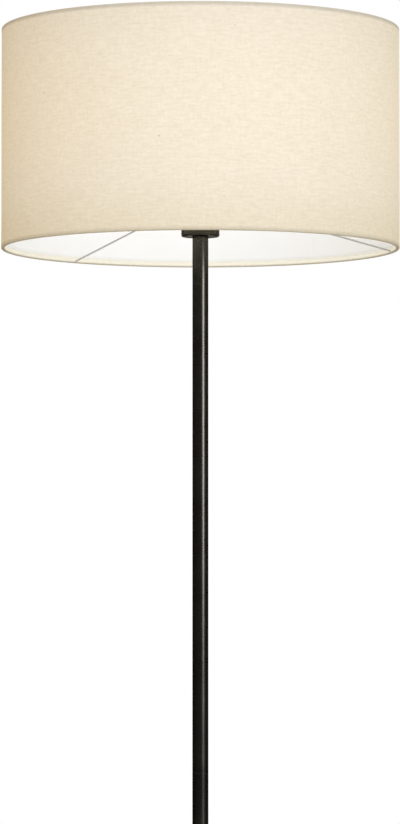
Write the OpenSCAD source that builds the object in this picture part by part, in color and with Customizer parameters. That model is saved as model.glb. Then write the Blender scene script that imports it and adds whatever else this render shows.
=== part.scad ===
// Column floor lamp: a drum shade on a wire spider, a lamp holder in a small
// metal cup, a slim two-part column and a weighted round base.
// The origin is on the floor at the column's axis, +Z is up and -Y is the front.

/* [Column] */
// Outside diameter of the column tubes
tube_d = 20; // [18.5:0.5:22]
// Wall thickness of the column tubes
tube_wall = 1.2; // [1:0.1:1.5]
// Length of each of the two equal tubes
tube_len = 672; // [560:4:760]
// Bevel on the tube ends, seen as a fine line where the tubes meet
tube_bevel = 0.3; // [0.1:0.1:0.5]

/* [Base] */
// Diameter of the base
base_d = 280; // [240:5:320]
// Height of the base at the column
base_h = 24; // [23:0.5:27]
// How much lower the base's rim is than its middle
base_fall = 4; // [2:0.5:5]
// Corner radius of the base's rim
base_corner = 6; // [4:0.5:6.5]
// Sheet thickness of the spun cover
cover_t = 1.2; // [1:0.1:1.5]
// Thickness of the foam pad that the base rests on
pad_t = 3; // [2.5:0.5:4]
// Bore of the cord inlet bush
inlet_bore_d = 7.2; // [6.4:0.2:7.6]

/* [Shade] */
// Outside diameter of the drum shade
shade_d = 500; // [420:10:560]
// Height of the shade from rim to rim
shade_h = 278; // [220:2:320]
// Thickness of the fabric
fabric_t = 0.6; // [0.4:0.1:0.8]
// Thickness of the white sheet that the fabric is glued to
liner_t = 0.5; // [0.4:0.1:0.7]
// Wire diameter of the two rim rings
ring_wire_d = 3; // [2.5:0.5:4]
// Width of the lapped seam
seam_w = 10; // [6:1:14]
// Direction of the seam, in degrees from straight back towards the right
seam_turn = 34; // [0:1:359]

/* [Spider] */
// Wire diameter of the spider arms
arm_wire_d = 2.5; // [2:0.5:3]
// Height of the spider's hub above the shade's lower rim
hub_rise = 66; // [56:2:80]
// Direction of the first arm, in degrees from straight back towards the right
arm_turn = -41; // [-180:1:180]

/* [Holder] */
// Diameter of the cup round the lamp holder
cup_d = 48; // [46:1:52]
// Height of the cup's underside above the shade's lower rim
cup_lift = 16; // [10:1:20]
// Crest diameter of the holder's outside thread
skirt_d = 39.5; // [39:0.1:40]
// Diameter of the two shade rings
shade_ring_d = 57; // [54:1:60]

/* [Bulb] */
// Diameter of the bulb
bulb_d = 60; // [50:1:65]
// Length of the bulb from its contact to its top
bulb_len = 108; // [100:1:115]
// Outside diameter of the bulb's screw cap
cap_d = 26.2; // [26:0.1:26.4]

/* [Hidden] */
$fn = 96;

// Fine thread shared by every hollow stud and nipple
stud_d = 10;
stud_bore = 7.6;
insert_len = 14;
nut_flats = 17;
slot_w = 0.6;
tube_bore = tube_d - 2 * tube_wall;

// Heights along the column
joint_z = base_h + tube_len;
cup_z = joint_z + tube_len;
shade_z = cup_z - cup_lift;
shade_top = shade_z + shade_h;
hub_z = shade_z + hub_rise;

// Base
boss_r = 20;
rim_top = base_h - base_fall;
recess_r = 38;
recess_top = 15;
rebate_r = 48;
plate_t = 1.5;
plate_screw_r = 43;
plate_screws_n = 3;
plate_screws_turn = 60;
plate_screw_head_d = 7;
plate_screw_len = 8;
inlet_z = 8.5;
bush_body_d = 9;
bush_flange_d = 11;
bush_flange_t = 1.5;
bush_len = 9;
groove_w = 12;
groove_top = 14.5;
washer_t = 1.5;
lock_washer_t = 0.8;
base_nut_t = 4;
washer_d = 28;
lock_washer_d = 18;
base_washer_z = recess_top - washer_t;
base_lock_z = base_washer_z - lock_washer_t;
base_nut_z = base_lock_z - base_nut_t;

// Connector block, held to the roof of the base's recess
block = [16, 16, 10];
block_y = 27;
block_pitch = 8;
terminal_d = 4.4;
terminal_len = 13;
terminal_bore = 2.6;
wire_z = 8.4;
well_d = 3;
well_y = 4.5;
block_screw_d = 2.6;
block_screw_h = 2.4;

// Shade
shade_r = shade_d / 2;
liner_r = shade_r - fabric_t;
liner_in = liner_r - liner_t;
ring_r = ring_wire_d / 2;
ring_centre = liner_in - ring_r;
ring_z = fabric_t + ring_r;
hem_h = 7.5;
hem_wrap = 125;
hem_steps = 10;
lap_clear = 9;
lap_bite = 0.2;

// Spider
arms_n = 3;
hub_t = 1.2;
hub_in_d = 42.5;
hub_out_d = 68;
leg_h = 2.8;
arm_weld = 3.5;
arm_clear = 2.5;
crank_run = 5.5;
crank_drop = 9.4;

// Holder, with heights above the cup's underside
cup_wall = 1;
cup_floor = 1.2;
cup_corner = 1.5;
cup_nut_t = 4;
ring_flange_t = 2;
ring_h = 8;
upper_collar_d = 48;
lower_flange_z = hub_z - ring_flange_t;
lower_ring_z = hub_z - ring_h;
upper_ring_z = hub_z + hub_t;
lock_z = cup_z + cup_floor;
cup_nut_z = lock_z + lock_washer_t;
dome_z = cup_nut_z + cup_nut_t;
dome_boss_r = 8;
dome_boss_h = 5;
dome_r = 20.5;
dome_inner_r = 17.6;
dome_h = 28;
dome_thread_h = 8;
dome_ledge = 16;
dome_curve_h = 12;
set_screw_z = 2.8;
set_screw_d = 3;
spigot_r = 19.2;
core_z = dome_z + dome_ledge;
core_h = 12;
core_flange_t = 3;
core_r = 16.5;
liner_z = core_z + core_h;
shell_wall = 0.4;
shell_bore = cap_d + 0.7;
shell_h = 26;
shell_hole_r = 8.5;
skirt_top = upper_ring_z + ring_h + 3.8;
skirt_in = 17;
skirt_lip = 14.2;
terminal_x = 10;
screw_head_d = 6;
screw_head_t = 2.5;
screw_d = 3.5;
terminal_screw_len = 7.5;

// Bulb
tip_z = liner_z + 2.5;
tip_d = 9.5;
tip_h = 1;
vitrite_h = 5.5;
vitrite_d = 23;
cap_wall = 0.3;
cap_z = tip_z + tip_h + vitrite_h;
cap_h = 20;
cap_top = cap_z + cap_h;
bulb_mid = tip_z + bulb_len - bulb_d / 2;
glass_t = 0.8;
stem_r = 4;
stem_top = bulb_mid - 24;
neck_d = 25;
neck_in_cap = 8;
neck_angle = 48;

// Inner lead
sheath_d = 5.6;
core_d = 2.2;
core_gap = 1.4;
sheath_bottom = base_nut_z + 0.5;
sheath_top = dome_z + dome_thread_h + 1;

// A body turned about the column from a half outline given as points
module turned(points) {
    rotate_extrude() polygon(points);
}

// A plain ring
module ring(outer_d, inner_d, height) {
    difference() {
        cylinder(h = height, d = outer_d);
        translate([0, 0, -1]) cylinder(h = height + 2, d = inner_d);
    }
}

// A hexagon nut with a plain bore
module hex_nut(flats, bore_d, height) {
    difference() {
        intersection() {
            cylinder(h = height, d = flats / cos(30), $fn = 6);
            turned([[0, 0], [flats / 2 - 0.2, 0], [flats / 2 + 1, 0.9], [flats / 2 + 1, height - 0.9],
                    [flats / 2 - 0.2, height], [0, height]]);
        }
        translate([0, 0, -1]) cylinder(h = height + 2, d = bore_d);
    }
}

// A washer with bent teeth round its outside
module toothed_washer(outer_d, inner_d, height) {
    teeth = 12;
    difference() {
        ring(outer_d, inner_d, height);
        for (i = [0 : teeth - 1])
            rotate([0, 0, i * 360 / teeth])
                translate([outer_d / 2 - 1.2, -0.5, -1]) cube([3, 1, height + 2]);
    }
}

// One straight round rod from a to b
module rod(a, b, d) {
    v = b - a;
    length = norm(v);
    translate(a)
        rotate([0, acos(v[2] / length), atan2(v[1], v[0])])
            cylinder(h = length, d = d, $fn = 32);
}

// A round wire along points: a ball a hair wider than the wire takes in the rods' ends at each bend
module wire(points, d) {
    for (i = [0 : len(points) - 2]) rod(points[i], points[i + 1], d);
    for (i = [1 : len(points) - 2]) translate(points[i]) sphere(d = d * 1.04, $fn = 32);
}

// A pan-head screw, its head under z = 0 and its shank above
module screw_up(head_d, head_t, shank_d, shank_h) {
    turned([[0, -head_t], [head_d / 2 - 0.8, -head_t], [head_d / 2, -head_t + 0.8], [head_d / 2, 0],
            [shank_d / 2, 0], [shank_d / 2, shank_h], [0, shank_h]]);
}

// The cutter of a screw's slot
module screw_slot(head_d, height) {
    translate([-head_d, -slot_w / 2, 0]) cube([2 * head_d, slot_w, height]);
}

// Turns its children from straight back to a direction on the right of it
module towards(turn) {
    rotate([0, 0, -turn]) children();
}

// ---- base ----

// Half outline of the base above its pad, moved inwards by inset
function base_outline(inset) =
    let (fall = atan(base_fall / (base_d / 2 - boss_r)),
         corner = base_corner - inset,
         centre = [base_d / 2 - base_corner, rim_top - base_corner])
    concat([[base_d / 2 - inset, pad_t]],
           [for (i = [0 : 12]) centre + corner * [cos(i * (90 - fall) / 12), sin(i * (90 - fall) / 12)]],
           [[boss_r, base_h - inset], [0, base_h - inset]]);

module base_pad() {
    inset = 4;
    hole_margin = 3;
    color("dimgray") ring(base_d - 2 * inset, 2 * (rebate_r + hole_margin), pad_t);
}

// Cast weight with a recess for the wiring, a groove for the cord and a rebate for the plate
module base_weight() {
    color("darkslategray") difference() {
        turned(concat([[0, pad_t]], base_outline(cover_t)));
        translate([0, 0, pad_t - 1]) cylinder(h = recess_top - pad_t + 1, r = recess_r);
        translate([0, 0, pad_t - 1]) cylinder(h = plate_t + 1, r = rebate_r);
        translate([0, 0, pad_t]) cylinder(h = base_h, d = stud_d + 0.4);
        translate([-groove_w / 2, recess_r / 2, pad_t - 1])
            cube([groove_w, base_d / 2 - recess_r / 2, groove_top - pad_t + 1]);
        for (i = [0 : plate_screws_n - 1])
            towards(plate_screws_turn + i * 360 / plate_screws_n)
                translate([0, plate_screw_r, pad_t])
                    cylinder(h = plate_screw_len + 1, d = screw_d, $fn = 32);
    }
}

// Spun metal cover with the hole for the inlet bush at its back
module base_cover() {
    inner = base_outline(cover_t);
    color([0.1, 0.09, 0.08]) difference() {
        turned(concat(base_outline(0), [for (i = [len(inner) - 1 : -1 : 0]) inner[i]]));
        translate([0, 0, base_h - 5]) cylinder(h = 10, d = stud_d + 0.4);
        translate([0, base_d / 2 - 5, inlet_z]) rotate([-90, 0, 0]) cylinder(h = 10, d = bush_body_d);
    }
}

module recess_plate() {
    color("dimgray") difference() {
        translate([0, 0, pad_t]) cylinder(h = plate_t, r = rebate_r);
        for (i = [0 : plate_screws_n - 1])
            towards(plate_screws_turn + i * 360 / plate_screws_n)
                translate([0, plate_screw_r, pad_t - 1]) cylinder(h = plate_t + 2, d = screw_d, $fn = 32);
    }
}

module plate_screws() {
    color("silver")
        for (i = [0 : plate_screws_n - 1])
            towards(plate_screws_turn + i * 360 / plate_screws_n)
                translate([0, plate_screw_r, pad_t])
                    screw_up(plate_screw_head_d, 2, screw_d, plate_screw_len);
}

module inlet_bush() {
    flange_y = base_d / 2;
    color([0.08, 0.08, 0.08])
        translate([0, flange_y + bush_flange_t, inlet_z]) rotate([90, 0, 0])
            turned([[inlet_bore_d / 2, 0], [bush_flange_d / 2 - 0.6, 0], [bush_flange_d / 2, 0.6],
                    [bush_flange_d / 2, bush_flange_t], [bush_body_d / 2, bush_flange_t],
                    [bush_body_d / 2, bush_len], [inlet_bore_d / 2, bush_len]]);
}

// Two-pole block with open tunnels for the wires and wells for its screws
module connector_block() {
    color("ivory") difference() {
        translate([-block[0] / 2, block_y - block[1] / 2, recess_top - block[2]]) cube(block);
        for (side = [-1, 1]) {
            translate([side * block_pitch / 2, block_y - block[1], wire_z])
                rotate([-90, 0, 0]) cylinder(h = 2 * block[1], d = terminal_d, $fn = 48);
            for (end = [-1, 1])
                translate([side * block_pitch / 2, block_y + end * well_y, 0])
                    cylinder(h = wire_z, d = well_d, $fn = 32);
        }
    }
}

module block_terminals() {
    color("gold")
        for (side = [-1, 1])
            translate([side * block_pitch / 2, block_y, wire_z]) difference() {
                translate([0, -terminal_len / 2, 0]) rotate([-90, 0, 0])
                    cylinder(h = terminal_len, d = terminal_d, $fn = 48);
                translate([0, -terminal_len, 0]) rotate([-90, 0, 0])
                    cylinder(h = 2 * terminal_len, d = terminal_bore, $fn = 48);
                for (end = [-1, 1])
                    translate([0, end * well_y, -terminal_d])
                        cylinder(h = terminal_d, d = block_screw_d, $fn = 32);
            }
}

// Slotted screws whose tips press on the wires in the block
module block_screws() {
    bottom = wire_z - core_d / 2 - block_screw_h;
    color("gold")
        for (side = [-1, 1])
            for (end = [-1, 1])
                translate([side * block_pitch / 2, block_y + end * well_y, bottom]) difference() {
                    cylinder(h = block_screw_h, d = block_screw_d, $fn = 32);
                    translate([0, 0, -1]) screw_slot(block_screw_d, 1.7);
                }
}

module base_washer() {
    color("silver") translate([0, 0, base_washer_z]) ring(washer_d, stud_d + 0.4, washer_t);
}

module base_lock_washer() {
    color("silver") translate([0, 0, base_lock_z]) toothed_washer(lock_washer_d, stud_d + 0.2, lock_washer_t);
}

module base_nut() {
    color("silver") translate([0, 0, base_nut_z]) hex_nut(nut_flats, stud_d, base_nut_t);
}

module base_stud() {
    color("goldenrod") translate([0, 0, base_nut_z])
        ring(stud_d, stud_bore, base_h + insert_len - 2 - base_nut_z);
}

// ---- column ----

module tube(z) {
    r = tube_d / 2;
    color([0.1, 0.09, 0.08]) translate([0, 0, z])
        turned([[tube_bore / 2, 0], [r - tube_bevel, 0], [r, tube_bevel], [r, tube_len - tube_bevel],
                [r - tube_bevel, tube_len], [tube_bore / 2, tube_len]]);
}

// Threaded plug that is fixed in a tube's end
module tube_insert(z) {
    color("silver") translate([0, 0, z])
        turned([[stud_d / 2, 0], [tube_bore / 2, 0], [tube_bore / 2, insert_len - 1],
                [tube_bore / 2 - 1, insert_len], [stud_d / 2, insert_len]]);
}

module foot_insert() { tube_insert(base_h); }

module lower_tube() { tube(base_h); }

module joint_insert_lower() {
    translate([0, 0, 2 * joint_z]) mirror([0, 0, 1]) tube_insert(joint_z);
}

module joint_stud() {
    length = 2 * insert_len - 4;
    color("goldenrod") translate([0, 0, joint_z - length / 2]) ring(stud_d, stud_bore, length);
}

module joint_insert_upper() { tube_insert(joint_z); }

module upper_tube() { tube(joint_z); }

module head_insert() {
    translate([0, 0, 2 * cup_z]) mirror([0, 0, 1]) tube_insert(cup_z);
}

// ---- lamp holder ----

module cup_nipple() {
    bottom = cup_z - insert_len + 2;
    color("goldenrod") translate([0, 0, bottom])
        ring(stud_d, stud_bore, dome_z + dome_thread_h - 1 - bottom);
}

module holder_cup() {
    r = cup_d / 2;
    height = lower_flange_z - cup_z;
    color([0.1, 0.09, 0.08]) translate([0, 0, cup_z])
        turned([[stud_d / 2 + 0.2, 0], [r - cup_corner, 0], [r - cup_corner * 0.29, cup_corner * 0.29],
                [r, cup_corner], [r, height], [r - cup_wall, height], [r - cup_wall, cup_floor + 0.8],
                [r - cup_wall - 0.8, cup_floor], [stud_d / 2 + 0.2, cup_floor]]);
}

module cup_lock_washer() {
    color("silver") translate([0, 0, lock_z]) toothed_washer(lock_washer_d, stud_d + 0.2, lock_washer_t);
}

module cup_nut() {
    color("silver") translate([0, 0, cup_nut_z]) hex_nut(nut_flats, stud_d, cup_nut_t);
}

// Lower half of the holder, screwed on the nipple, with a ledge that carries the core
module holder_dome() {
    outer = [for (a = [0 : 10 : 90])
        [dome_boss_r + (dome_r - dome_boss_r) * sin(a), dome_boss_h + dome_curve_h * (1 - cos(a))]];
    inner = [for (a = [90 : -10 : 0])
        [stud_d / 2 + (dome_inner_r - stud_d / 2) * sin(a),
         dome_thread_h + (dome_ledge - dome_thread_h) * (1 - cos(a))]];
    color([0.07, 0.07, 0.07]) translate([0, 0, dome_z]) difference() {
        turned(concat([[stud_d / 2, 0], [dome_boss_r, 0]], outer,
                      [[dome_r, dome_h], [spigot_r, dome_h], [spigot_r, dome_ledge]], inner));
        translate([0, 0, set_screw_z]) rotate([90, 0, 0])
            cylinder(h = dome_boss_r + 2, d = set_screw_d, $fn = 32);
    }
}

module dome_set_screw() {
    length = dome_boss_r - stud_d / 2 + 1;
    color("silver") translate([0, -stud_d / 2, dome_z + set_screw_z]) rotate([90, 0, 0]) difference() {
        cylinder(h = length, d = set_screw_d, $fn = 32);
        translate([0, 0, length - 1]) screw_slot(set_screw_d, 2);
    }
}

// Ceramic core, clamped by its flange between the dome's ledge and the skirt
module holder_core() {
    color("whitesmoke") translate([0, 0, core_z]) difference() {
        turned([[0, 0], [spigot_r - 0.2, 0], [spigot_r - 0.2, core_flange_t], [core_r, core_flange_t],
                [core_r, core_h], [0, core_h]]);
        for (side = [-1, 1])
            translate([side * terminal_x, 0, -1])
                cylinder(h = terminal_screw_len + 1.5, d = screw_d, $fn = 32);
    }
}

module terminal_screws() {
    color("gold")
        for (side = [-1, 1])
            translate([side * terminal_x, 0, core_z]) difference() {
                screw_up(screw_head_d, screw_head_t, screw_d, terminal_screw_len);
                translate([0, 0, -screw_head_t - 1]) screw_slot(screw_head_d, 1.8);
            }
}

// Brass leaf whose raised end presses on the bulb's contact
module centre_contact() {
    rise = tip_z - liner_z;
    leaf = 0.4;
    width = 5;
    color("gold") translate([0, width / 2, liner_z]) rotate([90, 0, 0]) linear_extrude(width)
        polygon([[-7.5, 0], [-4, 0], [-2, rise - leaf], [3.5, rise - leaf], [3.5, rise], [-2.3, rise],
                 [-4.3, leaf], [-7.5, leaf]]);
}

module thread_liner() {
    r = shell_bore / 2;
    color("gold") translate([0, 0, liner_z])
        turned([[shell_hole_r, 0], [r + shell_wall, 0], [r + shell_wall, shell_h], [r, shell_h],
                [r, shell_wall], [shell_hole_r, shell_wall]]);
}

// Upper half of the holder, with the outside thread for the two shade rings
module holder_skirt() {
    bottom = core_z + core_flange_t;
    step = dome_z + dome_h;
    color([0.07, 0.07, 0.07])
        turned([[skirt_in, bottom], [spigot_r, bottom], [spigot_r, step], [skirt_d / 2, step],
                [skirt_d / 2, skirt_top - 1], [skirt_d / 2 - 1, skirt_top], [skirt_lip, skirt_top],
                [skirt_lip, skirt_top - 2], [skirt_in, skirt_top - 2]]);
}

// A threaded ring with a flange at z = 0 and a ribbed collar above it
module shade_ring(collar_d) {
    ribs = 24;
    flute_d = 2.4;
    color([0.07, 0.07, 0.07]) difference() {
        union() {
            ring(shade_ring_d, skirt_d, ring_flange_t);
            ring(collar_d, skirt_d, ring_h);
        }
        for (i = [0 : ribs - 1])
            rotate([0, 0, i * 360 / ribs])
                translate([collar_d / 2 + flute_d / 4, 0, ring_flange_t])
                    cylinder(h = ring_h, d = flute_d, $fn = 24);
    }
}

module lower_shade_ring() {
    translate([0, 0, hub_z]) mirror([0, 0, 1]) shade_ring(cup_d - 2 * cup_wall - 0.4);
}

module upper_shade_ring() {
    translate([0, 0, upper_ring_z]) shade_ring(upper_collar_d);
}

// ---- inner lead ----

module lead_sheath() {
    color("gray") translate([0, 0, sheath_bottom]) difference() {
        cylinder(h = sheath_top - sheath_bottom, d = sheath_d);
        for (side = [-1, 1])
            translate([side * core_gap, 0, -1])
                cylinder(h = sheath_top - sheath_bottom + 2, d = core_d, $fn = 32);
    }
}

// One insulated core: side is -1 or 1, from the connector block to the holder's terminal
module lead_core(side) {
    x = side * core_gap;
    low = base_nut_z - 1.3 - core_d / 2;
    wire([[side * block_pitch / 2, block_y - 2, wire_z],
          [side * block_pitch / 2, block_y - block[1] / 2 - 3, wire_z],
          [x, 0, low], [x, 0, sheath_top + 2.2], [side * terminal_x, 4.2, core_z - 4],
          [side * terminal_x, 4.2, core_z]], core_d);
}

module live_lead() { color("saddlebrown") lead_core(-1); }

module neutral_lead() { color("steelblue") lead_core(1); }

// ---- shade ----

module spider_hub() {
    color("silver") translate([0, 0, hub_z]) ring(hub_out_d, hub_in_d, hub_t);
}

// Three wires from under the hub's edge, each cranked down beside it, then straight to the lower rim
// ring, where its tip is bent down
module spider_arms() {
    wire_r = arm_wire_d / 2;
    inner = hub_out_d / 2 - arm_weld;
    crank_r = hub_out_d / 2 + arm_clear;
    leg_r = ring_centre - ring_r - wire_r;
    color("silver")
        for (i = [0 : arms_n - 1])
            towards(arm_turn + i * 360 / arms_n)
                wire([[0, inner, hub_z - wire_r], [0, crank_r, hub_z - wire_r],
                      [0, crank_r + crank_run, hub_z - wire_r - crank_drop],
                      [0, leg_r, shade_z + leg_h], [0, leg_r, shade_z + ring_z - 0.8]],
                     arm_wire_d);
}

module rim_ring(z) {
    color("silver") translate([0, 0, z]) rotate_extrude() translate([ring_centre, 0]) circle(d = ring_wire_d);
}

module top_ring() { rim_ring(shade_top - ring_z); }

module bottom_ring() { rim_ring(shade_z + ring_z); }

// White sheet rolled into a drum, its ends lapped inside
module shade_liner() {
    color("white") translate([0, 0, shade_z]) {
        rotate_extrude() translate([liner_in, fabric_t]) square([liner_t, shade_h - 2 * fabric_t]);
        towards(seam_turn) seam_lap(liner_in - liner_t, liner_t + lap_bite, lap_clear);
    }
}

// The second layer where a sheet's two ends lap
module seam_lap(r, t, margin) {
    turn = seam_w / r * 180 / PI;
    rotate([0, 0, 90 - turn / 2]) rotate_extrude(angle = turn)
        translate([r, margin]) square([t, shade_h - 2 * margin]);
}

// Outline of the fabric's rolled edge: down the outside, round the ring and up inside the liner.
// The inner arc is a hair wider than the ring's wire, so that its chords stay outside the wire.
function hem_outline() =
    let (centre = [ring_centre, ring_z],
         outer = ring_r + fabric_t,
         step = (270 - hem_wrap) / hem_steps,
         inner = ring_r / cos(step / 2),
         slope = 90 - hem_wrap,
         out_end = centre + outer * [cos(hem_wrap), sin(hem_wrap)],
         in_end = centre + inner * [cos(hem_wrap), sin(hem_wrap)],
         out_r = liner_in - fabric_t,
         out_z = out_end[1] - (out_r - out_end[0]) * tan(slope),
         in_z = in_end[1] - (liner_in - in_end[0]) * tan(slope))
    concat([[shade_r, shade_h / 2], [shade_r, fabric_t], [shade_r - fabric_t, 0]],
           [for (i = [0 : hem_steps]) centre + outer * [cos(270 - i * step), sin(270 - i * step)]],
           [[out_r, out_z], [out_r, hem_h], [liner_in, hem_h], [liner_in, in_z]],
           [for (i = [hem_steps : -1 : 0]) centre + inner * [cos(270 - i * step), sin(270 - i * step)]],
           [[liner_r, fabric_t], [liner_r, shade_h / 2]]);

module shade_fabric() {
    color([0.93, 0.88, 0.78]) translate([0, 0, shade_z]) {
        difference() {
            union() {
                rotate_extrude() polygon(hem_outline());
                translate([0, 0, shade_h]) mirror([0, 0, 1]) rotate_extrude() polygon(hem_outline());
            }
            for (i = [0 : arms_n - 1])
                towards(arm_turn + i * 360 / arms_n)
                    translate([-2, ring_centre - ring_r - arm_wire_d - 2, -1])
                        cube([4, arm_wire_d + 2.2, hem_h + 2]);
        }
        towards(seam_turn) seam_lap(shade_r - lap_bite, fabric_t + lap_bite, fabric_t);
    }
}

// ---- bulb ----

module bulb_contact() {
    color("silver") translate([0, 0, tip_z])
        turned([[0, 0], [tip_d / 2 - 0.8, 0], [tip_d / 2, tip_h], [0, tip_h]]);
}

module bulb_insulator() {
    color("black") translate([0, 0, tip_z + tip_h])
        turned([[0, 0], [tip_d / 2 + 0.6, 0], [vitrite_d / 2 - cap_wall, vitrite_h],
                [vitrite_d / 2 - cap_wall, vitrite_h + 1], [0, vitrite_h + 1]]);
}

module bulb_cap() {
    r = cap_d / 2;
    lip = vitrite_d / 2;
    color("silver") translate([0, 0, cap_z])
        turned([[lip - cap_wall, 0], [lip, 0], [r, 2], [r, cap_h], [r - cap_wall, cap_h],
                [r - cap_wall, 2.1], [lip - cap_wall, 0.4]]);
}

// Bulb wall: a ball on an S-shaped neck that reaches down into the cap
function bulb_outline(inset) =
    let (ball = bulb_d / 2,
         neck = neck_d / 2,
         join = [ball * cos(neck_angle), bulb_mid - ball * sin(neck_angle)],
         cove = (join[0] - neck) / (1 - cos(neck_angle)),
         cove_mid = [neck + cove, join[1] - cove * sin(neck_angle)])
    concat([[neck - inset, cap_top - neck_in_cap]],
           [for (a = [0 : 8 : neck_angle]) cove_mid + (cove + inset) * [-cos(a), sin(a)]],
           [for (a = [-neck_angle + 8 : 6 : 88]) [0, bulb_mid] + (ball - inset) * [cos(a), sin(a)]],
           [[0, bulb_mid + ball - inset]]);

module bulb_glass() {
    inner = bulb_outline(glass_t);
    color("white") turned(concat(bulb_outline(0), [for (i = [len(inner) - 1 : -1 : 0]) inner[i]]));
}

// Glass stem on a flare that closes the bulb's neck
module bulb_stem() {
    foot = cap_top - neck_in_cap;
    color("lightblue")
        turned([[0, foot], [neck_d / 2 - glass_t, foot], [neck_d / 2 - glass_t, foot + 1], [6, foot + 6],
                [stem_r, foot + 12], [stem_r, stem_top - 0.8], [stem_r - 0.8, stem_top], [0, stem_top]]);
}

// Four upright filament sticks on wires from the stem
module led_filaments() {
    sticks = 4;
    stick_d = 1.4;
    stick_len = 35;
    low = stem_top - 2;
    color("khaki")
        for (i = [0 : sticks - 1])
            rotate([0, 0, 45 + i * 360 / sticks])
                wire([[stem_r, 0, low], [stem_r + 2, 0, low], [10, 0, low + 4], [8, 0, low + 4 + stick_len],
                      [stick_d / 2, 0, low + 7 + stick_len]], stick_d);
}

// Upright board with one capacitor that bites into its face
module bulb_driver() {
    board = [14, 1.2, 10];
    capacitor_d = 6;
    color("seagreen") translate([0, 0, cap_z + 1]) {
        translate([-board[0] / 2, -board[1] / 2, 0]) cube(board);
        translate([0, board[1] / 2 - 0.2 + capacitor_d / 2, 1])
            cylinder(h = board[2] - 2, d = capacitor_d, $fn = 32);
    }
}

base_pad();
base_weight();
base_cover();
recess_plate();
plate_screws();
inlet_bush();
connector_block();
block_terminals();
block_screws();
base_washer();
base_lock_washer();
base_nut();
base_stud();
foot_insert();
lower_tube();
joint_insert_lower();
joint_stud();
joint_insert_upper();
upper_tube();
head_insert();
cup_nipple();
holder_cup();
cup_lock_washer();
cup_nut();
holder_dome();
dome_set_screw();
holder_core();
terminal_screws();
centre_contact();
thread_liner();
holder_skirt();
lower_shade_ring();
lead_sheath();
live_lead();
neutral_lead();
upper_shade_ring();
spider_hub();
spider_arms();
top_ring();
bottom_ring();
shade_liner();
shade_fabric();
bulb_contact();
bulb_insulator();
bulb_cap();
bulb_glass();
bulb_stem();
led_filaments();
bulb_driver();
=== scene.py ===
import math

import bmesh
import bpy
import numpy as np
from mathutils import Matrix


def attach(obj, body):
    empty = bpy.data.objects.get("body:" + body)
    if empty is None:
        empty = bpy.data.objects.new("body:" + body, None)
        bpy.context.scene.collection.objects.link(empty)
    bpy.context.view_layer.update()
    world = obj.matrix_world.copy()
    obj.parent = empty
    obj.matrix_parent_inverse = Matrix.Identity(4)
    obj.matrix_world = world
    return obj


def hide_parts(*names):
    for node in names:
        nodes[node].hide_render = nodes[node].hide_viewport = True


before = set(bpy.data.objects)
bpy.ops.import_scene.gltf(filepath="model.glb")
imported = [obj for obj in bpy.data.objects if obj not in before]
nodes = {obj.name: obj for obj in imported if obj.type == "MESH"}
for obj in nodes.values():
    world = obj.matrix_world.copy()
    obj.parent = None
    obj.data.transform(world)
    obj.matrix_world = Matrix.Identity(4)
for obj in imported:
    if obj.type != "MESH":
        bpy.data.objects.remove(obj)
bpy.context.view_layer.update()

scene = bpy.context.scene
MM = 0.001
TURN = 2 * math.pi

# ---- sizes that the new pieces share with the CAD model, in millimetres ----
TUBE_R, TUBE_BORE_R, TUBE_LEN = 10.0, 8.8, 672.0
BASE_TOP = 24.0
JOINT_Z = BASE_TOP + TUBE_LEN
CUP_Z = JOINT_Z + TUBE_LEN
SHADE_Z, SHADE_H = 1352.0, 278.0
SHADE_R, FABRIC_T, LINER_T = 250.0, 0.6, 0.5
LINER_R = SHADE_R - FABRIC_T
LINER_IN = LINER_R - LINER_T
WIRE_R = 1.5
RING_R = LINER_IN - WIRE_R
RING_Z = FABRIC_T + WIRE_R
HEM_H = 7.5
SEAM_W, SEAM_TURN = 10.0, 34.0
HUB_Z, HUB_T = 1418.0, 1.2
CUP_R, CUP_H = 24.0, 48.0
SKIRT_R = 19.75
UPPER_RING_Z = 1419.2
LINER_Z, SHELL_BORE_R, SHELL_WALL, SHELL_H = 1402.0, 13.45, 0.4, 26.0
CAP_Z, CAP_H, CAP_R, CAP_WALL = 1411.0, 20.0, 13.1, 0.3
LAMP_PITCH, LAMP_THREAD_DEPTH = 3.629, 0.9
BULB_R, BULB_MID, GLASS_T, NECK_R = 30.0, 1482.5, 0.8, 11.7
# Left between two pieces that touch, so that they share no surface
GAP = 0.02

# Angle of a direction that is given in degrees from straight back (+Y) towards the right (+X)
SEAM_ANGLE = math.radians(90 - SEAM_TURN)
ARM_ANGLES = np.radians(90 - (-41 + np.arange(3) * 120.0))

# ---- surfaces ----


def rounded(corners, steps=6, closed=True):
    """A path of (r, z) points through corners (r, z, radius). Each corner that has a radius gives way to the
    arc that touches both its sides, with a holding point a little beyond each end of the arc."""
    spots = np.array([c[:2] for c in corners], float)
    radii = [c[2] if len(c) > 2 else 0.0 for c in corners]
    parts = []
    for i, radius in enumerate(radii):
        here = spots[i]
        if radius <= 0 or (not closed and i in (0, len(radii) - 1)):
            parts.append(here[None])
            continue
        to_last, to_next = spots[i - 1] - here, spots[(i + 1) % len(radii)] - here
        sides = np.linalg.norm(to_last), np.linalg.norm(to_next)
        u, v = to_last / sides[0], to_next / sides[1]
        half = math.acos(np.clip(u @ v, -1, 1)) / 2
        reach = radius / math.tan(half)
        middle = here + (u + v) / np.linalg.norm(u + v) * radius / math.sin(half)
        a, b = here + u * reach - middle, here + v * reach - middle
        bend = math.pi - 2 * half
        k = np.linspace(0, 1, steps + 1)[:, None]
        arc = middle + (np.sin((1 - k) * bend) * a + np.sin(k * bend) * b) / math.sin(bend)
        hold = min(0.4 * radius, 0.25 * sides[0], 0.25 * sides[1])
        parts.append(np.vstack([here + u * (reach + hold), arc, here + v * (reach + hold)]))
    return np.vstack(parts)


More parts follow.
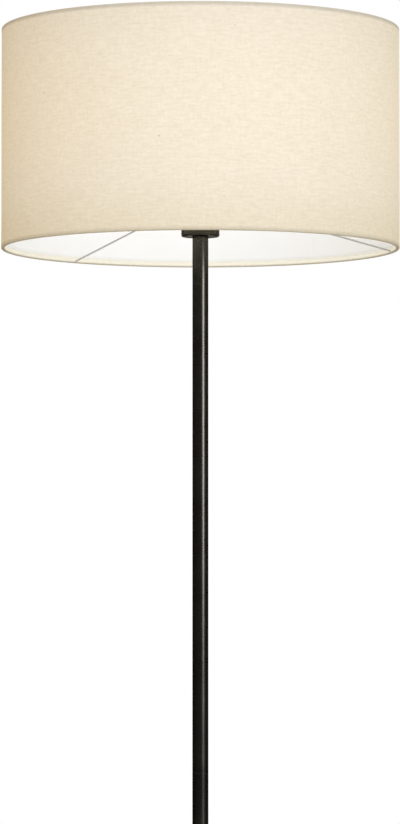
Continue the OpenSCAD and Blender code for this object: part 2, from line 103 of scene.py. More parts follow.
def dense(path, step, closed=True):
    """The same path with points added along each straight side, no further apart than step."""
    ends = np.roll(path, -1, axis=0) if closed else path[1:]
    starts = path if closed else path[:-1]
    parts = []
    for start, end in zip(starts, ends):
        count = max(1, math.ceil(np.linalg.norm(end - start) / step))
        k = np.arange(count)[:, None] / count
        parts.append(start + (end - start) * k)
    return np.vstack(parts + ([] if closed else [path[-1:]]))


def grid_faces(rows, columns, close_rows, close_columns):
    """Quads of a grid of points, row by row, joined across its ends where it closes; and each quad's
    (row, column) corners, counted on past the last one, for a UV map."""
    i, j = np.meshgrid(np.arange(rows if close_rows else rows - 1),
                       np.arange(columns if close_columns else columns - 1), indexing="ij")
    row = np.stack([i, i, i + 1, i + 1], -1).reshape(-1, 4)
    column = np.stack([j, j + 1, j + 1, j], -1).reshape(-1, 4)
    return (row % rows) * columns + column % columns, row, column


def turned(path, steps=128, closed=True, shift=None, angles=None):
    """Points of a path turned about Z: the point (r, z) at angle a lies at (r cos a, r sin a, z), with r
    grown by shift(a, r, z). A closed path makes a hollow ring, an open one runs from axis to axis."""
    after = np.roll(path, -1, axis=0)
    if np.sum(path[:, 0] * after[:, 1] - after[:, 0] * path[:, 1]) < 0:
        path = path[::-1]
    a = (np.arange(steps) * TURN / steps if angles is None else angles)[None, :]
    r, z = path[:, :1], path[:, 1:]
    r = r + (0 * a if shift is None else shift(a, r, z))
    points = np.stack([r * np.cos(a), r * np.sin(a), z + 0 * a], -1)
    return points, grid_faces(len(path), a.size, closed, True)


def piece(name, surface, body, material, stands_for, uv=None):
    """One object from grids of points in millimetres, with smooth faces, that rides on a body."""
    grids = surface if isinstance(surface, list) else [surface]
    points, faces, first = [], [], 0
    for spots, (quads, _, _) in grids:
        points.append(spots.reshape(-1, 3) * MM)
        faces.append(quads + first)
        first += points[-1].shape[0]
    mesh = bpy.data.meshes.new(name)
    mesh.from_pydata(np.vstack(points), [], np.vstack(faces).tolist())
    if uv is not None:
        layer = mesh.uv_layers.new(name="cloth")
        layer.data.foreach_set("uv", uv.astype(np.float32).ravel())
    else:
        poles = bmesh.new()
        poles.from_mesh(mesh)
        bmesh.ops.remove_doubles(poles, verts=poles.verts, dist=1e-7)
        poles.to_mesh(mesh)
        poles.free()
    mesh.polygons.foreach_set("use_smooth", np.ones(len(mesh.polygons), bool))
    mesh.materials.append(material)
    made = bpy.data.objects.new(name, mesh)
    scene.collection.objects.link(made)
    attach(made, body)
    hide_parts(stands_for)
    return made


# ---- materials ----


def colour(code):
    """The linear colour of an sRGB hex code."""
    parts = [int(code[i:i + 2], 16) / 255 for i in (1, 3, 5)]
    return (*[c / 12.92 if c <= 0.04045 else ((c + 0.055) / 1.055) ** 2.4 for c in parts], 1.0)


def add(tree, kind, inputs=None, **settings):
    """Adds a node: settings are its own properties, and inputs gives a socket, by name or number, a value or
    the output that it is linked from."""
    made = tree.nodes.new("ShaderNode" + kind)
    for name, value in settings.items():
        setattr(made, name, value)
    for name, value in (inputs or {}).items():
        if isinstance(value, bpy.types.NodeSocket):
            tree.links.new(value, made.inputs[name])
        else:
            made.inputs[name].default_value = value
    return made


def blank(name):
    """A new material with only its output: the material and its node tree."""
    made = bpy.data.materials.new(name)
    made.use_nodes = True
    made.node_tree.nodes.clear()
    return made, made.node_tree


# Most of a noise texture's values lie between these two
NOISE_LOW, NOISE_HIGH = 0.35, 0.65


def finish(name, dark, light, grain, rough, bump=0.0, stretch=(1, 1, 1), metallic=0.0, ior=1.5, fine=0.0,
           **sockets):
    """A solid finish on Object coordinates. Noise whose cells are `grain` millimetres across, drawn out by
    `stretch`, moves the colour from dark to light and the roughness over its pair, and raises the surface
    by bump millimetres; fine is the size in millimetres of a second, finer grain in the bump."""
    made, tree = blank(name)
    place = add(tree, "TexCoord").outputs["Object"]
    drawn = add(tree, "Mapping", {"Vector": place, "Scale": stretch})
    noise = add(tree, "TexNoise", {"Vector": drawn.outputs[0], "Scale": 1 / (grain * MM), "Detail": 4.0,
                                   "Roughness": 0.6})
    spread = add(tree, "MapRange", {"Value": noise.outputs["Fac"], "From Min": NOISE_LOW,
                                    "From Max": NOISE_HIGH})
    tint = add(tree, "Mix", {0: spread.outputs[0], 6: colour(dark), 7: colour(light)}, data_type="RGBA")
    gloss = add(tree, "MapRange", {"Value": noise.outputs["Fac"], "From Min": NOISE_LOW,
                                   "From Max": NOISE_HIGH, "To Min": rough[0], "To Max": rough[1]})
    inputs = {"Base Color": tint.outputs[2], "Roughness": gloss.outputs[0], "Metallic": metallic, **sockets}
    if not metallic:
        inputs["IOR"] = ior
    if bump:
        height = noise.outputs["Fac"]
        if fine:
            grit = add(tree, "TexNoise", {"Vector": drawn.outputs[0], "Scale": 1 / (fine * MM),
                                          "Detail": 2.0})
            height = add(tree, "Math", {0: height, 1: grit.outputs["Fac"]}, operation="ADD").outputs[0]
        raised = add(tree, "Bump", {"Height": height, "Distance": bump * MM, "Strength": 1.0})
        inputs["Normal"] = raised.outputs[0]
    shader = add(tree, "BsdfPrincipled", inputs)
    add(tree, "OutputMaterial", {"Surface": shader.outputs[0]})
    return made


def slub_linen():
    """Woven slub linen, glued to a sheet and lit from behind. Slubs, the thick places of the yarn, give long
    faint streaks along the weft and shorter ones along the warp, and there are a few dark knots of fibre. The
    light of the bulb through the cloth is painted on as a warm glow, most where the bulb is near, and less,
    in a deeper tone, at the rolled edges and the lap, where more layers stop the light. The rolled edges and
    the lowest 75 mm also carry painted shade in the cloth's colour. The UV map is in metres, along the cloth
    and up from the lower rim."""
    made, tree = blank("slub_linen")
    cloth = add(tree, "UVMap", uv_map="cloth").outputs[0]
    split = add(tree, "SeparateXYZ", {0: cloth})
    along, up = split.outputs[0], split.outputs[1]

    def maths(operation, a, b=0.0, c=0.0):
        return add(tree, "Math", {0: a, 1: b, 2: c}, operation=operation).outputs[0]

    def ramp(value, start, end, low=0.0, high=1.0):
        return add(tree, "MapRange", {"Value": value, "From Min": start, "From Max": end, "To Min": low,
                                      "To Max": high}, interpolation_type="SMOOTHSTEP").outputs[0]

    def streaks(length, width, seed):
        """Noise cells of length by width millimetres on the cloth, spread from 0 to 1."""
        laid = add(tree, "Mapping", {"Vector": cloth, "Scale": (1 / (length * MM), 1 / (width * MM), 1),
                                     "Location": (seed, seed, seed)})
        noise = add(tree, "TexNoise", {"Vector": laid.outputs[0], "Scale": 1.0, "Detail": 1.5})
        return ramp(noise.outputs["Fac"], 0.25, 0.75)

    # Weft slubs, short weft grain, warp slubs and slow changes of the yarn
    weft, grain, warp, slow = streaks(16, 3.4, 3), streaks(5, 3.2, 7), streaks(3, 14, 11), streaks(60, 40, 23)
    # The real threads are 0.5 mm apart: they are drawn 1.6 mm apart, which is as coarse as it takes to show
    pitch = 1.6 * MM
    weft_thread = maths("ABSOLUTE", maths("SINE", maths("MULTIPLY", up, math.pi / pitch)))
    warp_thread = maths("ABSOLUTE", maths("SINE", maths("MULTIPLY", along, math.pi / pitch)))
    weave = maths("MULTIPLY", weft_thread, warp_thread)
    # How thick the yarn is: 42% weft slubs, 34% grain, 24% warp slubs. The tone is 86% of that, with the rest
    # from the slow changes and the weave
    thick = maths("ADD", maths("MULTIPLY", weft, 0.42), maths("ADD", maths("MULTIPLY", grain, 0.34),
                                                             maths("MULTIPLY", warp, 0.24)))
    tone = maths("ADD", maths("MULTIPLY", thick, 0.86), maths("ADD", maths("MULTIPLY", slow, 0.08),
                                                             maths("MULTIPLY", weave, 0.06)))
    # Neps, small knots of fibre: one in each 150 mm cell, 0.6 mm in radius and fading out by 1.65 mm, some
    # darker than others
    cell = 150
    knots = add(tree, "TexVoronoi", {"Vector": cloth, "Scale": 1 / (cell * MM)}, voronoi_dimensions="2D")
    dark = ramp(add(tree, "SeparateXYZ", {0: knots.outputs["Color"]}).outputs[0], 0.0, 1.0, 0.25, 1.0)
    nep = maths("MULTIPLY", ramp(knots.outputs["Distance"], 0.6 / cell, 1.65 / cell, 1.0, 0.0), dark)
    tint = add(tree, "Mix", {0: tone, 6: colour("#D4CFC6"), 7: colour("#C8BFB1")}, data_type="RGBA")
    spotted = add(tree, "Mix", {0: maths("MULTIPLY", nep, 0.6), 6: tint.outputs[2], 7: colour("#A3957F")},
                  data_type="RGBA")
    # 1 where one layer lies on the sheet, and 1 where the cloth is turned in behind a rim, with soft edges
    rim = SHADE_H * MM
    one_layer = maths("MULTIPLY", ramp(up, 0.2 * MM, 8.5 * MM), ramp(up, rim - 0.2 * MM, rim - 5.5 * MM))
    turned_in = maths("MAXIMUM", ramp(up, -1.2 * MM, -3 * MM), ramp(up, rim + 1.2 * MM, rim + 3 * MM))
    # Where the cloth has no white sheet behind it, at the rolled edges, its colour is a little deeper: partly
    # the flax's own tone, partly painted shade on the rolled edges
    bare = maths("SUBTRACT", 1.0, maths("MAXIMUM", one_layer, turned_in))
    tone_and_painted_shade = add(tree, "Mix", {0: bare, 6: spotted.outputs[2], 7: colour("#F5F3E9")}, data_type="RGBA",
                     blend_type="MULTIPLY")
    # Painted shade: the lowest 75 mm is made warmer and slightly darker
    tone_and_painted_shade = add(tree, "Mix", {0: ramp(up, 75 * MM, 0.0), 6: tone_and_painted_shade.outputs[2], 7: colour("#FAF8F0")},
                     data_type="RGBA", blend_type="MULTIPLY")
    # The painted glow is strongest 158 mm above the lower rim, and falls with the square of the height from
    # there
    fall_off = 12.0
    middle = maths("SUBTRACT", up, 158 * MM)
    bulb_glow = maths("SUBTRACT", 1.0, maths("MULTIPLY", maths("MULTIPLY", middle, middle), fall_off))
    # The lap is the first and last 5 mm along the cloth, with soft edges; along runs from 0 to two halves
    half = SHADE_R * MM * TURN / 2
    lap_edge = half - SEAM_W / 2 * MM
    lap = ramp(maths("ABSOLUTE", maths("SUBTRACT", along, half)), lap_edge - 0.6 * MM, lap_edge + 0.4 * MM)
    # What is left of the glow: 16% at the rolled edges, half at the lap, 10% more or less with the yarn, and
    # 60% in a dark nep
    full_glow = 0.30
    through = maths("MULTIPLY", maths("MULTIPLY_ADD", one_layer, 0.84, 0.16),
                    maths("MULTIPLY_ADD", lap, -0.5, 1.0))
    glow = maths("MULTIPLY", maths("MULTIPLY", through, bulb_glow), maths("MULTIPLY_ADD", tone, -0.19, 1.095))
    glow = maths("MULTIPLY", glow, maths("MULTIPLY_ADD", nep, -0.4, 1.0))
    glow = maths("MULTIPLY", glow, full_glow)
    warmth = add(tree, "Mix", {0: one_layer, 6: colour("#FFDA9C"), 7: colour("#FFE5AA")}, data_type="RGBA")
    light = add(tree, "VectorMath", {0: warmth.outputs[2], "Scale": glow}, operation="SCALE")
    # The turned-in edge lies on the lit white sheet: its light is painted on as a fixed pale glow
    light = add(tree, "Mix", {0: turned_in, 6: light.outputs[0], 7: colour("#8D918A")}, data_type="RGBA")
    bump = add(tree, "Bump", {"Height": maths("MULTIPLY_ADD", thick, 2.0, weave), "Distance": 0.06 * MM,
                              "Strength": 1.0})
    shader = add(tree, "BsdfPrincipled", {"Base Color": tone_and_painted_shade.outputs[2], "Roughness": 0.9, "IOR": 1.45,
                                          "Specular IOR Level": 0.1, "Normal": bump.outputs[0],
                                          "Emission Color": light.outputs[2], "Emission Strength": 1.0})
    add(tree, "OutputMaterial", {"Surface": shader.outputs[0]})
    return made


def styrene_sheet():
    """White styrene sheet, rolled smooth: a clean matt white inside that takes the bulb's light evenly."""
    made, tree = blank("styrene_sheet")
    place = add(tree, "TexCoord").outputs["Object"]
    noise = add(tree, "TexNoise", {"Vector": place, "Scale": 1 / (45 * MM), "Detail": 2.0})
    tint = add(tree, "Mix", {0: noise.outputs["Fac"], 6: colour("#F4F4F2"), 7: colour("#F8F8F6")},
               data_type="RGBA")
    gloss = add(tree, "MapRange", {"Value": noise.outputs["Fac"], "To Min": 0.5, "To Max": 0.62})
    shader = add(tree, "BsdfPrincipled", {"Base Color": tint.outputs[2], "Roughness": gloss.outputs[0],
                                          "IOR": 1.59, "Specular IOR Level": 0.3})
    add(tree, "OutputMaterial", {"Surface": shader.outputs[0]})
    return made


def opal_glass():
    """Opal glass, a white film inside a clear blown bulb: lit, it is an even warm white with a soft gloss,
    less bright towards the neck."""
    made, tree = blank("opal_glass")
    place = add(tree, "TexCoord").outputs["Object"]
    noise = add(tree, "TexNoise", {"Vector": place, "Scale": 1 / (20 * MM), "Detail": 2.0})
    height = add(tree, "SeparateXYZ", {0: place}).outputs[2]
    neck_glow, ball_glow = 0.14, 0.32
    lit = add(tree, "MapRange", {"Value": height, "From Min": (CAP_Z + CAP_H) * MM,
                                 "From Max": (BULB_MID - 12) * MM, "To Min": neck_glow,
                                 "To Max": ball_glow}, interpolation_type="SMOOTHSTEP")
    cloud = add(tree, "MapRange", {"Value": noise.outputs["Fac"], "To Min": 0.96, "To Max": 1.0})
    glow = add(tree, "Math", {0: lit.outputs[0], 1: cloud.outputs[0]}, operation="MULTIPLY")
    light = add(tree, "VectorMath", {0: colour("#FFEDC6")[:3], "Scale": glow.outputs[0]}, operation="SCALE")
    shader = add(tree, "BsdfPrincipled", {"Base Color": colour("#DAD6CE"), "Roughness": 0.18, "IOR": 1.52,
                                          "Emission Color": light.outputs[0], "Emission Strength": 1.0})
    add(tree, "OutputMaterial", {"Surface": shader.outputs[0]})
    return made


# Steel plated with bronze, blackened and lacquered: a warm metal that is almost black, with one soft
# highlight, slight clouds from the blackening, and the thin clear gloss of the lacquer over it. The tint
# keeps it dark at a grazing angle too.
bronze_lacquer = finish("blackened_bronze", "#47443C", "#504D45", 40, (0.26, 0.30), bump=0.0004, metallic=1.0,
                        **{"Coat Weight": 0.1, "Coat Roughness": 0.2, "Specular Tint": colour("#9A9792")})
# Zinc plated steel, turned and pressed: a cool grey with slightly cloudy passivation
zinc_steel = finish("zinc_steel", "#A9ABAC", "#C3C4C2", 6, (0.28, 0.42), bump=0.003, metallic=1.0)
# Drawn steel wire, zinc plated: a dull light grey, part metal and part dry white zinc skin
drawn_wire = finish("drawn_wire", "#D6D5D2", "#E4E3E1", 5, (0.42, 0.54), bump=0.003, metallic=0.7, fine=0.8)
# Turned brass, a little tarnished
brass = finish("turned_brass", "#B08D4A", "#D2AE63", 5, (0.22, 0.38), bump=0.003, metallic=1.0)
# Nickel plated brass sheet, rolled into a lamp cap: bright with soft wear
nickel = finish("nickel_plate", "#B9B7B2", "#D3D1CC", 7, (0.18, 0.32), bump=0.002, metallic=1.0)
# Sand cast iron with a grey primer: pitted and matt
cast_iron = finish("cast_iron", "#2F3031", "#3D3E3E", 3.5, (0.65, 0.85), bump=0.25, fine=0.9)
# Closed-cell foam rubber: black, matt, with pores near 1 mm
foam_rubber = finish("foam_rubber", "#1B1B1B", "#262625", 1.2, (0.85, 0.95), bump=0.15)
# Pressed fibre board: dark, with short felted fibres
fibre_board = finish("fibre_board", "#2A2724", "#38342F", 2.0, (0.75, 0.9), bump=0.05, stretch=(1, 0.4, 1))
# Moulded phenolic resin: black, with the soft gloss of a polished mould and a faint brown cloud
phenolic = finish("phenolic_resin", "#0E0D0C", "#161412", 9, (0.25, 0.33), bump=0.003, ior=1.6)
# Moulded PVC: soft black plastic, matt from an etched mould
soft_pvc = finish("soft_pvc", "#141414", "#1B1B1A", 2.5, (0.5, 0.62), bump=0.012, fine=0.5)
# Moulded nylon: milky white with a dull skin
nylon = finish("moulded_nylon", "#DAD7CC", "#E5E2D8", 8, (0.42, 0.52), bump=0.006, ior=1.53)
# Glazed steatite: off-white ceramic under a thin clear glaze that pools a little
steatite = finish("glazed_steatite", "#DDD8CA", "#E9E5DA", 10, (0.12, 0.22), bump=0.02, ior=1.55)
# Extruded PVC sheath: grey, matt, faint lines along the cable
grey_sheath = finish("grey_sheath", "#6F6F6D", "#7B7B79", 3, (0.5, 0.6), bump=0.01, stretch=(1, 1, 0.1))
# Extruded PVC insulation, brown and blue
brown_core = finish("brown_core", "#5A3720", "#684228", 3, (0.42, 0.52), bump=0.008, stretch=(1, 1, 0.1))
blue_core = finish("blue_core", "#2C5E9B", "#366BA9", 3, (0.42, 0.52), bump=0.008, stretch=(1, 1, 0.1))
# Black glass in the end of the lamp cap, poured and fire polished
black_glass = finish("black_glass", "#0B0B0C", "#121213", 4, (0.08, 0.14), bump=0.01, ior=1.52)
# Drawn clear glass of the stem inside the bulb
clear_glass = finish("clear_glass", "#EEF3F2", "#F6F9F8", 8, (0.02, 0.05), bump=0.004, ior=1.52,
                     **{"Transmission Weight": 0.9})
# Silicone with yellow phosphor over the light sticks
phosphor = finish("phosphor_silicone", "#D8B044", "#E6C25C", 1.5, (0.45, 0.6), bump=0.01, ior=1.41)
# Glass-fibre circuit board with green solder mask
solder_mask = finish("solder_mask", "#1F5A36", "#2A6B43", 1.0, (0.3, 0.42), bump=0.01, stretch=(1, 1, 3))
linen, styrene, opal = slub_linen(), styrene_sheet(), opal_glass()

for material, names in {
    bronze_lacquer: ["base_cover"],
    cast_iron: ["base_weight"],
    foam_rubber: ["base_pad"],
    fibre_board: ["recess_plate"],
    soft_pvc: ["inlet_bush"],
    nylon: ["connector_block"],
    brass: ["block_terminals", "block_screws", "base_stud", "joint_stud", "cup_nipple", "terminal_screws",
            "centre_contact"],
    zinc_steel: ["plate_screws", "base_washer", "base_lock_washer", "base_nut", "foot_insert",
                 "joint_insert_lower", "joint_insert_upper", "head_insert", "cup_lock_washer", "cup_nut",
                 "dome_set_screw"],
    phenolic: ["holder_dome"],
    steatite: ["holder_core"],
    grey_sheath: ["lead_sheath"],
    brown_core: ["live_lead"],
    blue_core: ["neutral_lead"],
    nickel: ["bulb_contact"],
    black_glass: ["bulb_insulator"],
    clear_glass: ["bulb_stem"],
    phosphor: ["led_filaments"],
    solder_mask: ["bulb_driver"],
}.items():
    for name in names:
        nodes[name].data.materials.clear()
        nodes[name].data.materials.append(material)

# ---- column and cup ----


def tube(name, low, stands_for):
    """A round tube: a wall with softly bevelled ends, turned about Z."""
    top = low + TUBE_LEN
    path = rounded([(TUBE_BORE_R, low), (TUBE_R, low, 0.35), (TUBE_R, top, 0.35), (TUBE_BORE_R, top)])
    return piece(name, turned(path, 96), "stand", bronze_lacquer, stands_for)


tube("column_lower", BASE_TOP, "lower_tube")
tube("column_upper", JOINT_Z, "upper_tube")

nipple_hole_r, cup_wall, cup_floor = 5.2, 1.0, 1.2
cup_in, cup_top = CUP_R - cup_wall, CUP_Z + CUP_H
cup = rounded([(nipple_hole_r, CUP_Z), (CUP_R, CUP_Z, 1.6), (CUP_R, cup_top, 0.45), (cup_in, cup_top, 0.4),
               (cup_in, CUP_Z + cup_floor, 0.8), (nipple_hole_r, CUP_Z + cup_floor)])
piece("cup_shell", turned(cup, 128), "stand", bronze_lacquer, "holder_cup")

# ---- lamp holder ----


def thread(pitch, depth, low, high):
    """Growth in r of a round right-hand thread between two heights: a cosine of the angle less the turns
    climbed, cut from the crest inwards, fading over half a pitch at both ends."""
    def growth(a, r, z):
        fade = np.clip((z - low) / (pitch / 2), 0, 1) * np.clip((high - z) / (pitch / 2), 0, 1)
        return -depth * fade * (1 - np.cos(a - TURN * z / pitch)) / 2
    return growth


# The holder's skirt: a plain foot in the dome, an outside thread above the step, and a mouth for the bulb
skirt_low, skirt_step, skirt_top = 1393.0, 1402.0, 1431.0
skirt_in, foot_r, mouth_r, mouth_low = 17.0, 19.2, 14.2, skirt_top - 2
outside = thread(2.5, 0.8, skirt_step + 0.5, skirt_top - 1.5)
skirt = dense(rounded([(skirt_in, skirt_low), (foot_r, skirt_low), (foot_r, skirt_step),
                       (SKIRT_R, skirt_step, 0.2), (SKIRT_R, skirt_top, 0.9), (mouth_r, skirt_top, 0.5),
                       (mouth_r, mouth_low, 0.3), (skirt_in, mouth_low)]), 0.25)
threaded = turned(skirt, 144, shift=lambda a, r, z: np.where(r > foot_r + 0.2, outside(a, r, z), 0))
piece("holder_collar", threaded, "stand", phenolic, "holder_skirt")

# The screw shell: a pressed brass cup with a round thread that takes the bulb's cap
inside = thread(LAMP_PITCH, LAMP_THREAD_DEPTH, LINER_Z + 4, LINER_Z + SHELL_H - 1)
shell_out, shell_hole_r, shell_top = SHELL_BORE_R + SHELL_WALL, 8.5, LINER_Z + SHELL_H
shell = dense(rounded([(shell_hole_r, LINER_Z), (shell_out, LINER_Z, 0.7), (shell_out, shell_top),
                       (SHELL_BORE_R, shell_top), (SHELL_BORE_R, LINER_Z + SHELL_WALL, 0.3),
                       (shell_hole_r, LINER_Z + SHELL_WALL)]), 0.3)
piece("screw_shell", turned(shell, 96, shift=inside), "stand", brass, "thread_liner")


def shade_ring(name, collar_r, seat, up, body, stands_for):
    """A flange with a ribbed collar. Round flutes 2.4 mm wide are cut in the collar: at a flute the radius
    is the flute's own circle, where that lies inside the collar. The bore clears the holder's thread by
    0.05 mm, so the ring rises past its plain end without rubbing."""
    flutes, cut_r, off = 24, 1.2, 0.6
    bore, flange_r, flange_t, height = SKIRT_R + 0.05, 28.5, 2.0, 8.0
    path = rounded([(bore, 0), (flange_r, 0, 0.5), (flange_r, flange_t, 0.5), (collar_r, flange_t, 0.2),
                    (collar_r, height, 0.5), (bore, height, 0.3)])

    def flute(a, r, z):
        across = collar_r * ((a + TURN / flutes / 2) % (TURN / flutes) - TURN / flutes / 2)
        floor = collar_r + off - np.sqrt(np.clip(cut_r ** 2 - across ** 2, 0, None))
        hit = (np.abs(across) < cut_r) & (z > flange_t + 0.15) & (r > collar_r - 1.5)
        return np.where(hit, np.minimum(floor - r, 0), 0 * r)

    points, faces = turned(dense(path, 1.0), flutes * 16, shift=flute)
    points[..., 2] = seat + (points[..., 2] if up else -points[..., 2])
    if not up:
        points = points[:, ::-1]
    piece(name, (points, faces), body, phenolic, stands_for)


shade_ring("lower_clamp_ring", 22.8, HUB_Z, False, "stand", "lower_shade_ring")
shade_ring("upper_clamp_ring", 24.0, UPPER_RING_Z, True, "shade_nut", "upper_shade_ring")

# ---- spider and rim rings ----

hub_in, hub_out, hub_top = 21.25, 34.0, HUB_Z + HUB_T
hub = rounded([(hub_in, HUB_Z, 0.3), (hub_out, HUB_Z, 0.4), (hub_out, hub_top, 0.4), (hub_in, hub_top, 0.3)],
              4)
piece("hub_ring", turned(hub, 160), "shade", zinc_steel, "spider_hub")


def carried_wire(corners, radius, angle, around=20):
    """A round wire carried along a path of rounded (r, z) corners in the upright plane at an angle: each
    point is the path's plus radius times (cos b across the path in its plane + sin b square to the plane).
    The ends close in two small steps."""
    path = dense(rounded(corners, 8, closed=False), 12, closed=False)
    ahead = np.gradient(path, axis=0)
    ahead /= np.linalg.norm(ahead, axis=1)[:, None]
    thick = np.full(len(path), radius)
    round_off = 0.15
    path = np.vstack([path[:1], path[:1], path[:1] + ahead[:1] * round_off, path[1:-1],
                      path[-1:] - ahead[-1:] * round_off, path[-1:], path[-1:]])
    ahead = np.vstack([ahead[:1], ahead[:1], ahead, ahead[-1:], ahead[-1:]])
    thick = np.concatenate([[0, radius - round_off], thick, [radius - round_off, 0]])[:, None]
    b = np.arange(around)[None, :] * TURN / around
    out = path[:, :1] + thick * np.cos(b) * ahead[:, 1:]
    up = path[:, 1:] - thick * np.cos(b) * ahead[:, :1]
    side = -thick * np.sin(b)
    points = np.stack([out * math.cos(angle) - side * math.sin(angle),
                       out * math.sin(angle) + side * math.cos(angle), up], -1)
    return points, grid_faces(len(path), around, False, True)


# Each wire leaves the hub level, cranks down, runs straight to the rim ring and ends bent down beside it
arm_r, crank = 1.25, 9.4
arm_z, leg_r = HUB_Z - arm_r, RING_R - WIRE_R - arm_r
arm = [(30.5, arm_z), (36.5, arm_z, 3.2), (42, arm_z - crank, 4), (leg_r, SHADE_Z + 2.8, 0.9),
       (leg_r, SHADE_Z + RING_Z - 0.8)]
piece("spider_wires", [carried_wire(arm, arm_r, angle) for angle in ARM_ANGLES], "shade", drawn_wire,
      "spider_arms")


def rim_ring(name, z, stands_for):
    """A wire ring: a circle of the wire's radius turned about Z."""
    b = np.arange(24) * TURN / 24
    path = np.stack([RING_R + WIRE_R * np.cos(b), z + WIRE_R * np.sin(b)], -1)
    piece(name, turned(path, 256), "shade", drawn_wire, stands_for)


rim_ring("rim_wire_low", SHADE_Z + RING_Z, "bottom_ring")
rim_ring("rim_wire_high", SHADE_Z + SHADE_H - RING_Z, "top_ring")

# ---- shade ----


def seam_angles(width, r, count=320):
    """Angles round the drum from the middle of the lap to itself again: count even steps, less those near
    the two edges of the lap, where they are close."""
    half = width / 2 / r
    close = np.linspace(-0.8, 0.8, 9) / r
    even = np.arange(1, count) * TURN / count
    return SEAM_ANGLE + np.sort(np.concatenate([[0], half + close, TURN - half + close,
                                                even[(even > half + 2 / r) & (even < TURN - half - 2 / r)]]))


def lap_step(a, r, width):
    """1 on the lap and 0 off it, with a slope 0.4 mm wide at its edges."""
    off = np.abs((a - SEAM_ANGLE + math.pi) % TURN - math.pi) * r
    return np.clip((width / 2 + 0.2 - off) / 0.4, 0, 1)


def cloth_line():
    """The middle line of the fabric's thickness from the lower hem's end to the upper one's, as (r, z) above
    the lower rim: in the hem it lies against the sheet, then goes round the ring and up the outside. Its
    upper half mirrors the lower one."""
    mid = FABRIC_T / 2
    around = WIRE_R + mid
    # The cloth meets the ring 125 degrees round from its outermost point, over the top
    wrap = math.radians(125)
    leave = np.array([RING_R + around * math.cos(wrap), RING_Z + around * math.sin(wrap)])
    hem_r = LINER_IN - mid - GAP
    rise = leave[1] + (hem_r - leave[0]) * math.tan(wrap - math.pi / 2)
    b = np.linspace(wrap, 1.5 * math.pi, 13)
    arc = np.stack([RING_R + around * np.cos(b), RING_Z + around * np.sin(b)], -1)
    inner = rounded([(hem_r, HEM_H), (hem_r, rise, 1.0), tuple(leave)], 4, closed=False)[:-1]
    corner = rounded([tuple(arc[-1]), (SHADE_R - mid, mid, 1.1), (SHADE_R - mid, SHADE_H / 2)], 6,
                     closed=False)[1:-1]
    wall = np.stack([np.full(12, SHADE_R - mid), np.linspace(6, SHADE_H / 2, 12)], -1)
    low = np.vstack([dense(inner, 1.5, closed=False), arc, corner, wall])
    high = low[-2::-1] * [1, -1] + [0, SHADE_H]
    return np.vstack([low, high])


def fabric_drum():
    """The cloth: its middle line moved half a thickness to both sides makes a closed outline with rounded
    ends, which is turned about Z. The outside swells by 0.25 mm at the rolled edges, steps out by a
    thickness at the lap, and waves by up to 0.15 mm, a sum of slow sines of angle and height."""
    line = cloth_line()
    ahead = np.gradient(line, axis=0)
    ahead /= np.linalg.norm(ahead, axis=1)[:, None]
    # Drawn 4% thinner than it is, so that it clears the sheet and the rings
    side = np.stack([ahead[:, 1], -ahead[:, 0]], -1) * FABRIC_T / 2 * 0.96
    run = np.concatenate([[0], np.cumsum(np.linalg.norm(np.diff(line, axis=0), axis=1))])
    # Distance along the cloth is counted from the lower rim, so the outside reads 0 to the shade's height
    run -= run[np.argmin(line[:, 1])]
    outline = np.vstack([line + side, (line - side)[::-1]])
    along = np.concatenate([run, run[::-1]])
    outer = np.concatenate([np.ones(len(line)), np.zeros(len(line))])[:, None]

    angles = seam_angles(SEAM_W, SHADE_R)
    a, r, z = angles[None, :], outline[:, :1], outline[:, 1:]
    # 1 on the outside wall and 0 in the hems
    wall = np.clip((r - (LINER_R - 0.4)) / 0.3, 0, 1)
    edge = np.minimum(z, SHADE_H - z)
    swell = 0.25 * np.exp(-((edge - 3.2) / 2.2) ** 2)
    # No wave within 8 mm of a rim, and all of it from 38 mm on
    calm = np.clip((edge - 8) / 30, 0, 1)
    wave = 0.075 * calm * (np.sin(5 * a + 0.7) * np.sin(z * 0.021 + 0.4) + 0.6 * np.sin(11 * a + z * 0.03)
                           + 0.4 * np.sin(17 * a - z * 0.017 + 2))
    lap = FABRIC_T * lap_step(a, SHADE_R, SEAM_W) * np.clip((edge - 0.4) / 0.6, 0, 1)
    r = r + wall * (swell * outer + wave + lap * outer)
    points = np.stack([r * np.cos(a), r * np.sin(a), z + SHADE_Z + 0 * a], -1)

    quads, row, column = grid_faces(len(outline), angles.size, True, True)
    turn_at = np.append(angles, angles[0] + TURN) - SEAM_ANGLE
    uv = np.stack([turn_at[column] * SHADE_R, np.append(along, along[0])[row]], -1) * MM
    # A closed outline that is walked down the inside and up the outside already faces outwards
    return piece("fabric_drum", (points, (quads, row, column)), "shade", linen,
                 "shade_fabric", uv)


def sheet_drum():
    """The stiff sheet behind the fabric: a thin closed wall turned about Z, stepped in by its own thickness
    at the lap."""
    low, high = SHADE_Z + FABRIC_T, SHADE_Z + SHADE_H - FABRIC_T
    outside = LINER_R - GAP
    path = dense(np.array([(LINER_IN, low), (outside, low), (outside, high), (LINER_IN, high)]), 12)
    angles = seam_angles(SEAM_W, LINER_IN)

    def lap_in(a, r, z):
        edge = np.minimum(z - SHADE_Z, SHADE_Z + SHADE_H - z)
        clear_of_hem = np.clip((edge - 8.5) / 0.5, 0, 1)
        return -LINER_T * lap_step(a, LINER_IN, SEAM_W) * (r < LINER_R - 0.2) * clear_of_hem

    return piece("sheet_drum", turned(path, shift=lap_in, angles=angles), "shade", styrene,
                 "shade_liner")


sheet_drum()
drum = fabric_drum()

# ---- bulb ----

